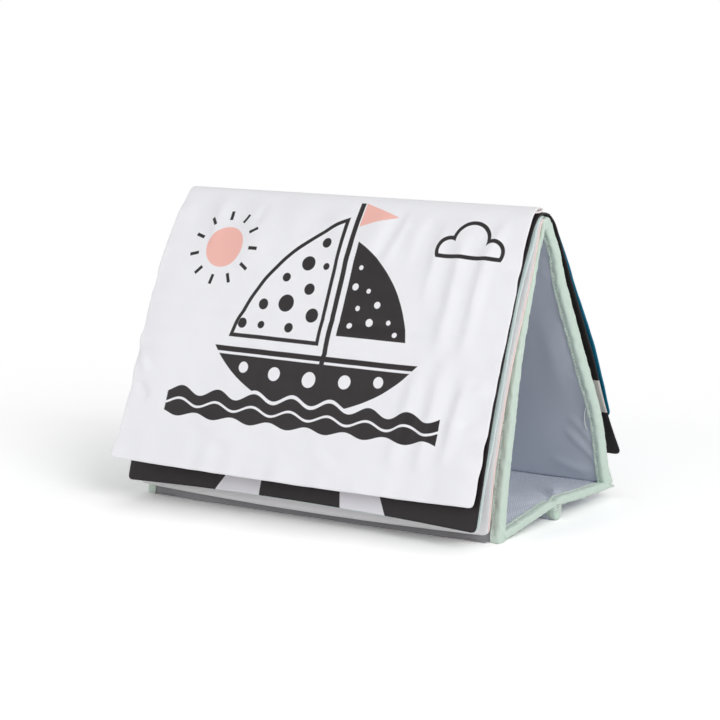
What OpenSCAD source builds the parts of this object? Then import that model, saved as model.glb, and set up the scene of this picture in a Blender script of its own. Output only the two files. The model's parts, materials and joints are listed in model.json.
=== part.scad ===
// Soft cloth easel book: two padded covers hinged along a ridge, a cloth base with a
// pleat that stands between them, and cloth leaves that hang over the ridge on both sides.
// X runs along the ridge, Y towards the back, Z up. The floor is at Z = 0.

/* [Covers] */
// Width of the book along its ridge
book_w = 255; // [200:1:320]
// Height of the hinge line above the floor
ridge_h = 176; // [150:1:210]
// How far the front cover's foot stands in front of the hinge line
front_reach = 44.5; // [40:0.5:52]
// How far the back cover's foot stands behind the hinge line
back_reach = 79.5; // [72:0.5:88]
// Height of the back cover's foot above the floor
back_lift = 12; // [10:0.5:15]
// How far the front cover bows outwards half way down
front_bow = 7.5; // [4:0.5:9]
// How far the back cover bows outwards half way down
back_bow = 2.5; // [1:0.5:5]
// Thickness of the padded board inside each cover
board_t = 5; // [4:0.25:6]
// Thickness of the cover cloth and of the lining
cloth_t = 0.8; // [0.6:0.1:1]
// Thickness of the binding tape
tape_t = 0.7; // [0.5:0.1:0.9]
// Width of the binding tape on each face
tape_w = 6.5; // [5:0.5:10]

/* [Leaves] */
// How far the leaves' side edges lie inside the covers' ends
leaf_inset = 0.5; // [0:0.5:6]
// Thickness of a leaf
leaf_t = 1.4; // [0.8:0.1:1.6]
// Slack between two leaves where they pass over the ridge
leaf_slack = 0.45; // [0.3:0.05:0.8]
// Radius of the leaves' lower corners
leaf_corner_r = 5; // [3:0.5:10]
// Hanging length of the plain leaf next to the front cover
plain_len = 179; // [160:1:185]
// Angle at which the plain leaf stands off its cover
plain_fan_angle = 2.8; // [2.6:0.2:4]
// Bow of the plain leaf
plain_bow = 5; // [4:0.5:6]
// Hanging length of the pale green leaf
aqua_len = 182; // [165:1:188]
// Angle at which the pale green leaf stands off its cover
aqua_fan_angle = 6; // [5.4:0.2:6.2]
// Bow of the pale green leaf
aqua_bow = 4.6; // [4:0.2:5]
// Hanging length of the black and white leaf in front
contrast_len = 180; // [160:1:190]
// Angle at which the black and white leaf in front stands off its cover
contrast_fan_angle = 6.8; // [6.6:0.2:7.2]
// Bow of the black and white leaf in front
contrast_bow = 5; // [4.4:0.2:5.2]
// Hanging length of the printed leaf below its bend
print_len = 158; // [140:1:168]
// Radius of the printed leaf's bend off the ridge at its left end
print_left_bend_r = 34; // [28:1:38]
// Radius of the printed leaf's bend off the ridge at its right end
print_right_bend_r = 24; // [20:1:34]
// Angle at which the printed leaf stands off its cover at its left end
print_left_fan_angle = 10.6; // [9:0.2:12]
// Angle at which the printed leaf stands off its cover at its right end
print_right_fan_angle = 7.7; // [7.5:0.2:12]
// Bow of the printed leaf
print_bow = 0.6; // [0:0.2:2]
// Hanging length of the black and white leaf behind
back_contrast_len = 175; // [160:1:185]
// Angle at which the black and white leaf behind stands off its cover
back_contrast_fan_angle = 4.6; // [4:0.2:5.2]
// Hanging length of the teal leaf
teal_len = 147; // [130:1:175]
// Angle at which the teal leaf stands off its cover
teal_fan_angle = 6.5; // [6.1:0.2:8]

/* [Base] */
// Thickness of the base cloth with its padding
base_t = 3.5; // [2.5:0.25:4.5]
// Height of the base's underside at its middle, where it is gathered
pinch_h = 9; // [7:0.5:12]
// How far behind the hinge line the pleat hangs
pleat_y = 18.5; // [14:0.5:22]
// Width of the pleat where it leaves the base
pleat_w = 10; // [8:0.5:14]
// Width of the pleat's foot on the floor
pleat_foot_w = 7; // [5:0.5:9]

/* [Hidden] */
$fn = 48;
// Clearance where the two covers turn past each other and where leaves pass over the spine
turn_gap = 0.3;
// How far cutting shapes run past what they cut
overrun = 20;
// Steps along a bowed length, and along a leaf's bend over the ridge
bow_steps = 16;
bend_steps = 8;
// Steps along the ridge in a leaf that hangs unevenly
twist_steps = 4;
// Angles, seen from the right end, at which the leaves leave the spine on the two sides
front_leaf_start_angle = 98;
back_leaf_start_angle = 82;
// Angle by which the ridge's end tape laps onto the back cover's
tape_lap_angle = 20;
cover_t = board_t + 2*cloth_t;
hinge = [0, ridge_h];
front_foot = [-front_reach, 0];
back_foot = [back_reach, back_lift];
seam_gap = tape_t + turn_gap;
spine_r = seam_gap + cover_t + tape_t;
leaf_pitch = leaf_t + leaf_slack;
leaf_w = book_w - 2*leaf_inset;
front_side = -1;
back_side = 1;
// Leans of the two covers from upright
front_lean_angle = atan(front_reach/ridge_h);
back_lean_angle = atan(back_reach/(ridge_h - back_lift));

// Outward normal of a fall from one point to another, on the front or the back side
function outward(p, q, side) = let (d = (q - p)/norm(q - p)) side*[-d[1], d[0]];
// Points along a fall that bows outwards, from share zero to the last share
function bowed(p, q, bow, side, last) = let (n = outward(p, q, side))
    [for (i = [0:bow_steps]) let (s = last*i/bow_steps) p + s*(q - p) + 4*bow*s*(1 - s)*n];
// Direction of a path at one of its points
function along(path, i) = let (d = path[min(i + 1, len(path) - 1)] - path[max(i - 1, 0)]) d/norm(d);
// A path moved outwards by a distance
function moved(path, by, side) =
    [for (i = [0:len(path) - 1]) let (d = along(path, i)) path[i] + by*side*[-d[1], d[0]]];
function backwards(path) = [for (i = [len(path) - 1:-1:0]) path[i]];
// Closed outline between two distances from a path
function band(path, inner, outer, side) =
    concat(moved(path, inner, side), backwards(moved(path, outer, side)));
// Point at an angle on a circle about the hinge line
function round_hinge(r, angle) = hinge + r*[cos(angle), sin(angle)];
// Middle line of a leaf: a bend off the spine, then down at its lean with its bow.
// A leaf without a bend radius of its own follows the spine.
function leaf_path(place, start, length, lean, bow, side, own_bend_r) =
    let (r = spine_r + turn_gap + leaf_t/2 + place*leaf_pitch,
         bend_r = is_undef(own_bend_r) ? r : own_bend_r,
         centre = round_hinge(r - bend_r, start),
         finish = side == front_side ? 180 - lean : lean,
         top = centre + bend_r*[cos(finish), sin(finish)],
         foot = top + length*[side*sin(lean), -cos(lean)],
         fall = bowed(top, foot, bow, side, 1))
    concat([for (i = [0:bend_steps - 1]) let (angle = start + (finish - start)*i/bend_steps)
                centre + bend_r*[cos(angle), sin(angle)]],
           fall);
function leaf_outline(path, side) = band(path, -leaf_t/2, leaf_t/2, side);
function lowest(outline) = min([for (p = outline) p[1]]);

front_seam = hinge + seam_gap*outward(hinge, front_foot, front_side);
back_seam = hinge + seam_gap*outward(hinge, back_foot, back_side);
// The lining's inner face on each cover, run on past the foot so that the foot can be cut level
past_foot = 1 + overrun/norm(front_foot - hinge);
front_path = bowed(front_seam, front_foot, front_bow, front_side, past_foot);
back_path = bowed(back_seam, back_foot, back_bow, back_side, past_foot);
// Angles of the covers' upper edges about the hinge line
front_top = let (d = along(front_path, 0)) atan2(-d[0], d[1]);
back_top = let (d = along(back_path, 0)) atan2(d[0], -d[1]);

// Middle lines of the leaves, counted outwards from the cover that they hang on
function front_leaf(place, length, fan_angle, bow, bend_r) =
    leaf_path(place, front_leaf_start_angle, length, front_lean_angle + fan_angle, bow, front_side, bend_r);
function back_leaf(place, length, fan_angle) =
    leaf_path(place, back_leaf_start_angle, length, back_lean_angle + fan_angle, 0, back_side);
plain_path = front_leaf(0, plain_len, plain_fan_angle, plain_bow);
aqua_path = front_leaf(1, aqua_len, aqua_fan_angle, aqua_bow);
contrast_path = front_leaf(2, contrast_len, contrast_fan_angle, contrast_bow);
// The printed leaf swings further out at its left end than at its right
print_left_path = front_leaf(3, print_len, print_left_fan_angle, print_bow, print_left_bend_r);
print_right_path = front_leaf(3, print_len, print_right_fan_angle, print_bow, print_right_bend_r);
back_contrast_path = back_leaf(0, back_contrast_len, back_contrast_fan_angle);
teal_path = back_leaf(1, teal_len, teal_fan_angle);

// The base's underside: from the front cover to the pleat, round the pleat, and level under the back cover's foot
base_front = -front_reach + 2*seam_gap;
base_back = back_reach + spine_r/cos(back_lean_angle);
base_back_z = back_lift - base_t - 2*tape_t;
base_level = back_reach - tape_w;
pinch_z = pinch_h + tape_t;
base_line = [
    [base_front, tape_t],
    [pleat_y - pleat_w/2, pinch_z],
    [pleat_y - pleat_foot_w/2, tape_t],
    [pleat_y + pleat_foot_w/2, tape_t],
    [pleat_y + pleat_w/2, pinch_z],
    [base_level, base_back_z],
    [base_back, base_back_z]
];

// The book stands with its footprint centred on the origin
leaf_outlines = [
    for (p = [plain_path, aqua_path, contrast_path, print_left_path, print_right_path])
        leaf_outline(p, front_side),
    for (p = [back_contrast_path, teal_path]) leaf_outline(p, back_side)
];
leaf_ys = [for (o = leaf_outlines) for (p = o) p[0]];
middle_y = -(min(leaf_ys) + max(leaf_ys))/2;

// A flat outline drawn in Y and Z, run along the ridge between two places
module along_ridge(from, to) {
    translate([from, middle_y, 0])
        rotate([90, 0, 90])
            linear_extrude(to - from)
                children();
}

module across(width) {
    along_ridge(-width/2, width/2) children();
}

// What lies between two heights, in Y and Z
module between(low, high) {
    far = front_reach + back_reach + ridge_h;
    intersection() {
        children();
        translate([-far, low]) square([2*far, high - low]);
    }
}

// A layer of a cover between two distances from the lining's inner face, cut level at its foot
module front_layer(inner, outer, foot_z) {
    between(foot_z, 2*ridge_h) polygon(band(front_path, inner, outer, front_side));
}

module back_layer(inner, outer, foot_z) {
    between(foot_z, 2*ridge_h) polygon(band(back_path, inner, outer, back_side));
}

// The rounded top of the ridge, between the upper edges of the two covers
module spine_profile(r, from_angle, to_angle) {
    middle = (from_angle + to_angle)/2;
    tip = hinge + turn_gap/sin((to_angle - from_angle)/2)*[cos(middle), sin(middle)];
    far = 2*spine_r;
    intersection() {
        translate(hinge) circle(r);
        polygon([
            tip,
            tip + far*[cos(from_angle), sin(from_angle)],
            tip + far*[cos(middle), sin(middle)],
            tip + far*[cos(to_angle), sin(to_angle)]
        ]);
    }
}

// Outline of the base cloth, or of the tape round it, by its distance from the cloth
module base_profile(grow) {
    up = base_t + grow;
    polygon([
        base_line[0] + [-grow, -grow],
        base_line[1] + [-grow, -grow],
        base_line[2] + [-grow, -grow],
        base_line[3] + [grow, -grow],
        base_line[4] + [grow, -grow],
        base_line[5] + [0, -grow],
        base_line[6] + [grow, -grow],
        base_line[6] + [grow, up],
        base_line[5] + [0, up],
        [pleat_y, pinch_z + up],
        base_line[0] + [-grow, up]
    ]);
}

// A tape folded over the right or left end of a piece: the first shape is its outside,
// and the second is the piece that it holds
module end_tape(side) {
    edge = book_w/2;
    mirror([side == front_side ? 1 : 0, 0, 0])
        difference() {
            along_ridge(edge - tape_w, edge) children(0);
            along_ridge(edge - tape_w - overrun, edge - tape_t) children(1);
        }
}

// Rounds a leaf's two lower corners, by the heights of its foot at the left and right ends
module round_corners(left_foot_z, right_foot_z) {
    depth = front_reach + back_reach + ridge_h;
    difference() {
        children();
        for (end = [-1, 1])
            translate([end*(leaf_w/2 - leaf_corner_r), depth,
                       (end < 0 ? left_foot_z : right_foot_z) + leaf_corner_r])
                rotate([90, 0, 0])
                    linear_extrude(2*depth)
                        difference() {
                            translate([min(end*(leaf_corner_r + overrun), 0), -leaf_corner_r - overrun])
                                square(leaf_corner_r + overrun);
                            circle(leaf_corner_r);
                        }
    }
}

// A leaf along its middle line
module leaf(path, side) {
    outline = leaf_outline(path, side);
    foot_z = lowest(outline);
    round_corners(foot_z, foot_z) across(leaf_w) polygon(outline);
}

// A leaf that hangs unevenly, between the middle lines at its left and right ends
module twisted_leaf(left_path, right_path, side) {
    outlines = [for (i = [0:twist_steps]) let (share = i/twist_steps)
        leaf_outline((1 - share)*left_path + share*right_path, side)];
    count = len(outlines[0]);
    points = [for (i = [0:twist_steps]) for (p = outlines[i])
        [leaf_w*(i/twist_steps - 1/2), p[0] + middle_y, p[1]]];
    // Two triangles for each step round the outline and along the ridge
    skin = [for (i = [0:twist_steps - 1]) for (k = [0:count - 1])
        let (a = i*count + k, b = i*count + (k + 1)%count)
            for (face = [[a, b, b + count], [a, b + count, a + count]]) face];
    // Each end is closed with pairs of triangles across the leaf's thickness
    caps = [for (first = [0, twist_steps*count]) for (k = [0:count/2 - 2])
        let (a = first + k, b = first + k + 1, c = first + count - 2 - k, d = first + count - 1 - k)
            for (face = first == 0 ? [[a, c, b], [a, d, c]] : [[a, b, c], [a, c, d]]) face];
    round_corners(lowest(outlines[0]), lowest(outlines[twist_steps]))
        polyhedron(points, concat(skin, caps), convexity = 4);
}

inner_w = book_w - 2*tape_t;

module front_lining() {
    color("slategray") across(inner_w) front_layer(0, cloth_t, cloth_t);
}

module front_board() {
    color("gainsboro") across(inner_w) front_layer(cloth_t, cloth_t + board_t, cloth_t);
}

// The outer cloth is turned under the cover's foot
module front_outer_cloth() {
    color("lightslategray")
        across(inner_w) {
            front_layer(cover_t - cloth_t, cover_t, 0);
            between(0, cloth_t) front_layer(0, cover_t, 0);
        }
}

module front_tape(side) {
    color("honeydew")
        end_tape(side) {
            front_layer(-tape_t, cover_t + tape_t, 0);
            front_layer(0, cover_t, -overrun);
        }
}

module front_binding_left() {
    front_tape(front_side);
}

module front_binding_right() {
    front_tape(back_side);
}

module leaf_plain() {
    color("mistyrose") leaf(plain_path, front_side);
}

module leaf_aqua() {
    color("azure") leaf(aqua_path, front_side);
}

module leaf_contrast() {
    color("dimgray") leaf(contrast_path, front_side);
}

module leaf_print() {
    color("white") twisted_leaf(print_left_path, print_right_path, front_side);
}

module back_lining() {
    color("slategray") across(inner_w) back_layer(0, cloth_t, back_lift + cloth_t);
}

module back_board() {
    color("gainsboro") across(inner_w) back_layer(cloth_t, cloth_t + board_t, back_lift + cloth_t);
}

module back_outer_cloth() {
    color("lightslategray")
        across(inner_w) {
            back_layer(cover_t - cloth_t, cover_t, back_lift);
            between(back_lift, back_lift + cloth_t) back_layer(0, cover_t, back_lift);
        }
}

// The tape at an end of the back cover runs on over the end of the ridge
module back_tape(side) {
    color("honeydew")
        end_tape(side) {
            union() {
                back_layer(-tape_t, cover_t + tape_t, back_lift - tape_t);
                spine_profile(spine_r, back_top - tape_lap_angle, front_top);
            }
            union() {
                back_layer(0, cover_t, back_lift);
                spine_profile(spine_r - tape_t, back_top - tape_lap_angle, front_top);
            }
        }
}

module back_binding_left() {
    back_tape(front_side);
}

module back_binding_right() {
    back_tape(back_side);
}

module ridge_spine() {
    color("lightslategray") across(inner_w) spine_profile(spine_r - tape_t, back_top, front_top);
}

module back_leaf_contrast() {
    color("dimgray") leaf(back_contrast_path, back_side);
}

module back_leaf_teal() {
    color("teal") leaf(teal_path, back_side);
}

module base_web() {
    color("lavender") across(inner_w) base_profile(0);
}

module base_tape(side) {
    color("honeydew")
        end_tape(side) {
            base_profile(tape_t);
            base_profile(0);
        }
}

module base_binding_left() {
    base_tape(front_side);
}

module base_binding_right() {
    base_tape(back_side);
}

front_outer_cloth();
front_board();
front_lining();
front_binding_left();
front_binding_right();
leaf_plain();
leaf_aqua();
leaf_contrast();
leaf_print();
back_outer_cloth();
back_board();
back_lining();
back_binding_left();
back_binding_right();
ridge_spine();
back_leaf_contrast();
back_leaf_teal();
base_web();
base_binding_left();
base_binding_right();
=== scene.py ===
import json
import math

import bmesh
import bpy
import numpy as np
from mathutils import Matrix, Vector


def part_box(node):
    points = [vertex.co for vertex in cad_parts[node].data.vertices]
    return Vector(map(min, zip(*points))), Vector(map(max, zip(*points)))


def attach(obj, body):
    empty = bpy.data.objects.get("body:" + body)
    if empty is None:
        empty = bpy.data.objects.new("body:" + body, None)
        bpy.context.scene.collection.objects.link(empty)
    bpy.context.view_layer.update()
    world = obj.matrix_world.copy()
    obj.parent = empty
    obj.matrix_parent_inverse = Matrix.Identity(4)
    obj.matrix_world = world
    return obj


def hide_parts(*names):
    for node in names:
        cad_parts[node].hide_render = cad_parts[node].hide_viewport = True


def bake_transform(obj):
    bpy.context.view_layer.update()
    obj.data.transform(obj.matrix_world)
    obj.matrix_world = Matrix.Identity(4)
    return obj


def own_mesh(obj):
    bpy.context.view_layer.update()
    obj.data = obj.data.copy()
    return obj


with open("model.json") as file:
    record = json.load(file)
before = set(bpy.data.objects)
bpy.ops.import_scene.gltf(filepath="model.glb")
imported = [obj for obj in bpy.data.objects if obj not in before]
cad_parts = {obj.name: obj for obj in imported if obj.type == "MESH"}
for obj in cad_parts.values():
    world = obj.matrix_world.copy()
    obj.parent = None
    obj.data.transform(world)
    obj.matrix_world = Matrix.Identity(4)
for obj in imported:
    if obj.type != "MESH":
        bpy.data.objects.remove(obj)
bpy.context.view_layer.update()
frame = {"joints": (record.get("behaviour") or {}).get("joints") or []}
mm = 0.001
hingeY, hingeZ = frame["joints"][0]["pos_m"][1:]
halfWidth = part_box("front_binding_right")[1].x / mm
print("frame loaded, the fold line is at", round(hingeY, 5), hingeZ)

# Sizes are in millimetres: x along the ridge, y back from the fold line, z up from the floor
book = {
    "ridge": hingeZ / mm,
    "seamGap": 1.0,
    "frontFoot": (-44.5, 0.0),
    "backFoot": (79.5, 12.0),
    "pleatAt": 18.9,
    "frontBow": 7.5,
    "backBow": 2.5,
    "clothThick": 0.8,
    "endInset": 1.6,  # how far the outer cloth, the ridge and the base stop inside the tape
    "liningInset": 4.6,  # how far the linings stop inside it
    "coverClear": 0.15,  # the covers' least height above the floor
    "footLean": 8.0,  # how far the front foot's left end lies ahead of its right end
}


def place(points):
    return np.asarray(points, float) * mm + np.array([0, hingeY, 0])


def spot(x, y, z):
    return tuple(place((x, y, z)))


def leaned(points):
    # the front cover is a little twisted, most at its foot, and the base follows it as far as the pleat
    x, y, z = points[..., 0], points[..., 1], points[..., 2]
    low = np.clip((book["ridge"] - z) / book["ridge"], 0, 1)
    pleat, foot = book["pleatAt"], book["frontFoot"][0]
    ahead = np.clip((pleat - y) / (pleat - foot), 0, 1)
    shift = -book["footLean"] * (0.5 - x / halfWidth / 2) * low * ahead
    return np.stack([x, y + shift, z], axis=-1)


def linear(red, green, blue):
    shares = [value / 255 for value in (red, green, blue)]
    light = [s / 12.92 if s <= 0.04045 else ((s + 0.055) / 1.055) ** 2.4 for s in shares]
    return (*light, 1.0)


# Lines, waves and creases

def smoothLine(points, spacing=0.5):
    # a smooth line through a few points, evenly spaced along its length
    points = np.array(points, float)
    knots = np.concatenate([[0], np.cumsum(np.sqrt(np.linalg.norm(np.diff(points, axis=0), axis=1)))])
    slopes = np.gradient(points, knots, axis=0)
    dense = np.linspace(0, knots[-1], 60 * len(points))
    i = np.clip(np.searchsorted(knots, dense, side="right") - 1, 0, len(knots) - 2)
    step = (knots[i + 1] - knots[i])[:, None]
    t = (dense - knots[i])[:, None] / step
    line = ((2 * t**3 - 3 * t**2 + 1) * points[i] + (t**3 - 2 * t**2 + t) * step * slopes[i]
            + (3 * t**2 - 2 * t**3) * points[i + 1] + (t**3 - t**2) * step * slopes[i + 1])
    return evenLine(line, spacing)


def distances(line):
    # how far along a line each of its points lies
    return np.concatenate([[0], np.cumsum(np.linalg.norm(np.diff(line, axis=0), axis=1))])


def evenLine(line, spacing):
    far = distances(line)
    places = np.linspace(0, far[-1], max(2, round(far[-1] / spacing) + 1))
    return np.stack([np.interp(places, far, line[:, k]) for k in range(line.shape[1])], axis=1)


def lineLength(line):
    return float(np.linalg.norm(np.diff(line, axis=0), axis=1).sum())


def roundedLine(corners, radius, spacing=0.35):
    # straight runs between corners, each corner turned on an arc
    corners = [np.array(c, float) for c in corners]
    line = [corners[0]]
    for before, corner, after in zip(corners, corners[1:], corners[2:]):
        into, out = (before - corner), (after - corner)
        into, out = into / np.linalg.norm(into), out / np.linalg.norm(out)
        half = math.acos(max(-1.0, min(1.0, float(into @ out)))) / 2
        centre = corner + (into + out) / np.linalg.norm(into + out) * radius / math.sin(half)
        start, finish = corner + into * radius / math.tan(half), corner + out * radius / math.tan(half)
        a = math.atan2(*(start - centre)[::-1])
        turn = (math.atan2(*(finish - centre)[::-1]) - a + math.pi) % (2 * math.pi) - math.pi
        line += [centre + radius * np.array([math.cos(a + turn * k / 10), math.sin(a + turn * k / 10)])
                 for k in range(11)]
    line.append(corners[-1])
    return evenLine(np.array(line), spacing)


def lineNormals(line, side):
    # unit normals of a line in y and z, on its left for side 1
    along = np.gradient(line, axis=0)
    along /= np.linalg.norm(along, axis=1)[:, None]
    return side * np.stack([-along[:, 1], along[:, 0]], axis=1)


def faceOff(x, line, normals, off, least, sunk=0.0):
    # a face that lies off a line in y and z along its normals, and no lower than least
    y, z = (line[:, k][:, None] + normals[:, k][:, None] * off for k in (0, 1))
    return leaned(np.stack([x, y, np.maximum(z - sunk, least)], axis=2))


def rowsIn(count):
    # how many rows each row lies from the nearer end
    return np.minimum(np.arange(count), np.arange(count)[::-1])[:, None]


def ripples(a, b, size, seed, waves=9):
    # soft random waves of about one size, mostly from -1 to 1
    draw = np.random.default_rng(seed)
    total = 0
    for _ in range(waves):
        heading, phase = draw.uniform(0, 2 * math.pi, 2)
        length = size * draw.uniform(0.7, 1.6)
        total = total + np.sin(2 * math.pi / length * (a * math.cos(heading) + b * math.sin(heading)) + phase)
    return total / math.sqrt(waves)


def crease(a, b, start, end, width, height):
    # a soft fold along a short line, fading out at both ends
    start, run = np.array(start, float), np.array(end, float) - np.array(start, float)
    long = np.linalg.norm(run)
    t = ((a - start[0]) * run[0] + (b - start[1]) * run[1]) / long**2
    off = ((b - start[1]) * run[0] - (a - start[0]) * run[1]) / long
    fade = np.where((t > 0) & (t < 1), np.sin(np.pi * np.clip(t, 0, 1)) ** 0.7, 0)
    return height * fade * np.exp(-((off / width) ** 2))


def edgeSteps(total, step, rim):
    # places from 0 to total, closer together at both ends where an edge is rounded
    near = [rim * share for share in (0, 0.06, 0.22, 0.5, 0.8)]
    middle = np.linspace(rim, total - rim, max(3, round((total - 2 * rim) / step)))
    return np.concatenate([near, middle, [total - d for d in reversed(near)]])


def acrossBook(half, step, rim=1.0):
    # places across the book, closer together at both ends
    return edgeSteps(2 * half, step, rim) - half


# Meshes

def addPiece(name, points, faces, uv, finishes, faceFinish=None):
    mesh = bpy.data.meshes.new(name)
    mesh.from_pydata(place(points).tolist(), [], [tuple(f) for f in faces])
    corners = np.zeros(len(mesh.loops), np.int32)
    mesh.loops.foreach_get("vertex_index", corners)
    layer = mesh.uv_layers.new(name="cloth")
    layer.data.foreach_set("uv", (np.asarray(uv, float)[corners] * mm).astype(np.float32).ravel())
    for finish in finishes:
        mesh.materials.append(finish)
    if faceFinish is not None:
        mesh.polygons.foreach_set("material_index", np.asarray(faceFinish, np.int32))
    form = bmesh.new()
    form.from_mesh(mesh)
    bmesh.ops.recalc_face_normals(form, faces=form.faces)
    form.to_mesh(mesh)
    form.free()
    mesh.shade_smooth()
    piece = bpy.data.objects.new(name, mesh)
    bpy.context.scene.collection.objects.link(piece)
    return piece


def quads(index):
    cells = [index[:-1, :-1], index[:-1, 1:], index[1:, 1:], index[1:, :-1]]
    return np.stack(cells, axis=-1).reshape(-1, 4)


def clothPiece(name, front, back, uv, finishes):
    # two faces of cloth that share their border, closed all round
    rows, columns = front.shape[:2]
    index = np.arange(rows * columns).reshape(rows, columns)
    behind = index.copy()
    behind[1:-1, 1:-1] = rows * columns + np.arange((rows - 2) * (columns - 2)).reshape(rows - 2, columns - 2)
    points = np.concatenate([front.reshape(-1, 3), back[1:-1, 1:-1].reshape(-1, 3)])
    spread = np.concatenate([uv.reshape(-1, 2), uv[1:-1, 1:-1].reshape(-1, 2)])
    over, under = quads(index), quads(behind)[:, ::-1]
    sides = np.concatenate([np.zeros(len(over)), np.ones(len(under))])
    return addPiece(name, points, np.concatenate([over, under]), spread, finishes, sides)


def gridNormals(grid, outward):
    across, down = np.gradient(grid, axis=1), np.gradient(grid, axis=0)
    normal = np.cross(across, down)
    normal /= np.maximum(np.linalg.norm(normal, axis=2), 1e-9)[..., None]
    return normal * np.sign((normal * np.array(outward)).sum(axis=2))[..., None]


def rimDepth(distance, thick, rim):
    # thickness of a sheet with a rounded edge, by distance from the edge
    return thick * np.sqrt(np.clip(1 - (1 - np.clip(distance / rim, 0, 1)) ** 2, 0, 1))


# Finishes

def pairSum(operation, swapped=False):
    # a method that makes a shader sum of two values
    return lambda self, other: self.sum(operation, *((other, self) if swapped else (self, other)))


class Wire:
    # a shader socket that can stand in a sum
    def __init__(self, tree, socket):
        self.tree, self.socket = tree, socket

    def sum(self, operation, *values):
        node = self.tree.nodes.new("ShaderNodeMath")
        node.operation = operation
        for entry, value in zip(node.inputs, values):
            connect(self.tree, entry, value)
        return Wire(self.tree, node.outputs[0])

    __add__, __radd__ = pairSum("ADD"), pairSum("ADD", True)
    __sub__, __rsub__ = pairSum("SUBTRACT"), pairSum("SUBTRACT", True)
    __mul__, __rmul__ = pairSum("MULTIPLY"), pairSum("MULTIPLY", True)
    __truediv__ = pairSum("DIVIDE")
    least, most = pairSum("MINIMUM"), pairSum("MAXIMUM")

    def __neg__(self):
        return self.sum("MULTIPLY", self, -1.0)

    def __abs__(self):
        return self.sum("ABSOLUTE", self)

    def sine(self):
        return self.sum("SINE", self)

    def wrap(self, low, high):
        return self.sum("WRAP", self, high, low)

    def clamped(self):
        return self.least(1.0).most(0.0)


def connect(tree, entry, value):
    if isinstance(value, Wire):
        tree.links.new(value.socket, entry)
    else:
        entry.default_value = value


class Finish:
    # one material, with the cloth's own coordinates in millimetres
    def __init__(self, name, **sockets):
        self.material = bpy.data.materials.new(name)
        self.material.use_nodes = True
        self.tree = self.material.node_tree
        self.shader = self.tree.nodes["Principled BSDF"]
        self.set(**sockets)
        self.uv = self.node("ShaderNodeUVMap", {"uv_map": "cloth"})
        self.across = self.node("ShaderNodeSeparateXYZ", {}, {"Vector": self.uv}, "X") * 1000
        self.down = self.node("ShaderNodeSeparateXYZ", {}, {"Vector": self.uv}, "Y") * 1000

    def set(self, **sockets):
        for name, value in sockets.items():
            connect(self.tree, self.shader.inputs[name.replace("_", " ")], value)

    def node(self, kind, settings=None, sockets=None, out=0):
        node = self.tree.nodes.new(kind)
        for name, value in (settings or {}).items():
            setattr(node, name, value)
        for name, value in (sockets or {}).items():
            connect(self.tree, node.inputs[name], value)
        return Wire(self.tree, node.outputs[out])

    def mix(self, share, first, second):
        return self.node("ShaderNodeMix", {"data_type": "RGBA"}, {0: share, 6: first, 7: second}, 2)

    def toned(self, colour, tone, dark):
        # a colour, and a darker one where tone is high
        return self.mix(tone, linear(*colour), linear(*[c * dark for c in colour]))

    def noise(self, vector, scale, detail):
        sockets = {"Vector": vector, "Scale": scale, "Detail": detail}
        return self.node("ShaderNodeTexNoise", {}, sockets, "Fac")

    def mottle(self, size, detail=2.0):
        # soft blotches of about that size in millimetres
        return self.noise(self.uv, 1000 / size, detail)

    def streaks(self, stretch, scale):
        # noise drawn out along one way of the cloth
        vector = self.node("ShaderNodeVectorMath", {"operation": "MULTIPLY"}, {0: self.uv, 1: stretch})
        return self.noise(vector, scale, 2.0)

    def threads(self, pitch):
        turn = 2 * math.pi / pitch
        return (self.across * turn).sine() * (self.down * turn).sine()

    def slant(self, pitch, lean):
        turn = 2 * math.pi / pitch
        return ((self.across * math.cos(lean) + self.down * math.sin(lean)) * turn).sine()

    def made(self, colour, roughness, height=None, strength=0.0, distance=0.0):
        self.set(Base_Color=colour, Roughness=roughness)
        if height is not None:
            sockets = {"Height": height, "Strength": strength, "Distance": distance * mm}
            self.set(Normal=self.node("ShaderNodeBump", {}, sockets, "Normal"))
        return self.material


def spotDistance(finish, x, y, radius):
    far = finish.node("ShaderNodeVectorMath", {"operation": "DISTANCE"},
                      {0: finish.uv, 1: (x * mm, y * mm, 0)}, "Value")
    return far * 1000 - radius


def inkMask(distance, soft=0.35):
    # 1 inside a shape and 0 outside, from its signed distance in millimetres
    return (0.5 - distance / soft).clamped()


def satin(name, colour, ink=None, gloss=0.42, shade=0.05, glow=0.0):
    # fine satin weave: a soft gloss, faint streaks down the cloth and thin threads, and light that glows
    # through where the cloth is pale
    finish = Finish(name, Sheen_Weight=0.04, Sheen_Roughness=0.4, Specular_IOR_Level=0.22,
                    Subsurface_Weight=glow, Subsurface_Scale=2.5 * mm, Subsurface_Radius=(1, 1, 1))
    base = finish.toned(colour, finish.mottle(14.0, 3.0) * shade, 0.8)
    if ink:
        base = ink(finish, base)
    streaks = finish.streaks((1.0, 0.12, 1.0), 260.0)
    return finish.made(base, gloss + 0.12 * streaks, finish.threads(0.9) * 0.5 + streaks * 0.5, 0.12, 0.12)


printColours = {
    "cloth": (243, 243, 247), "blush": (246, 190, 180), "ink": (38, 34, 36), "wornInk": (60, 55, 57),
    "ray": (232, 232, 238), "stripe": (222, 216, 214), "seam": (240, 214, 210),
}

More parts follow.
